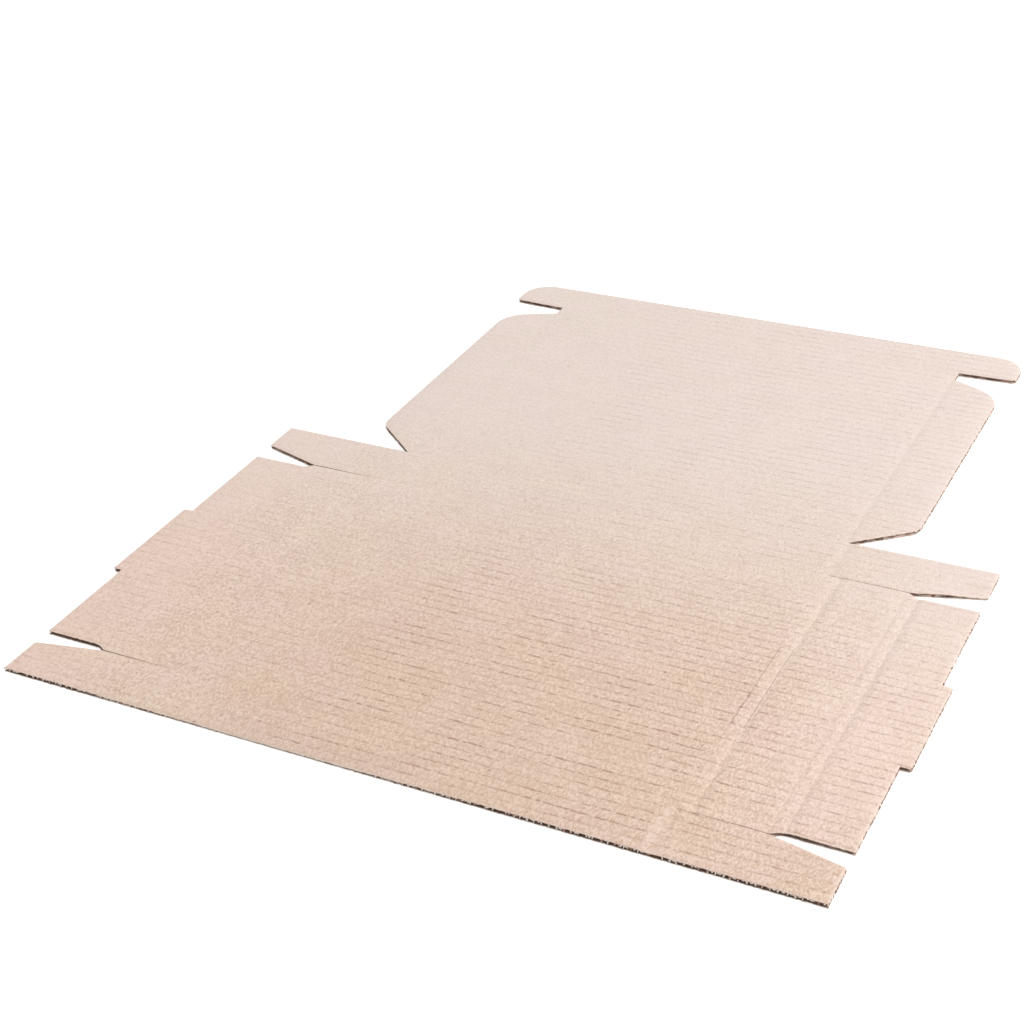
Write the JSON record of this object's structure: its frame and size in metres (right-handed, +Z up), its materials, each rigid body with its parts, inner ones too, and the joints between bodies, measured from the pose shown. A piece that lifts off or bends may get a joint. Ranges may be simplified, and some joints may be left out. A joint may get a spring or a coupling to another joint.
{
  "type": "flattened cardboard box",
  "caption": "Flat die-cut corrugated blank for a roll-over mailer box, with creases, dust flaps, side tabs, lid flaps and a tuck flap.",
  "frame": {"origin": "middle of the blank's outline, on the underside it lies on", "axes": "+Y from the front wall to the tuck flap, +X along the flutes, +Z up out of the inside face"},
  "size_m": [0.4372, 0.5016, 0.0024],
  "materials": {
    "corrugated_board": "matte"
  },
  "bodies": {
    "root": {"mailer_blank": "corrugated_board"}
  },
  "joints": []
}
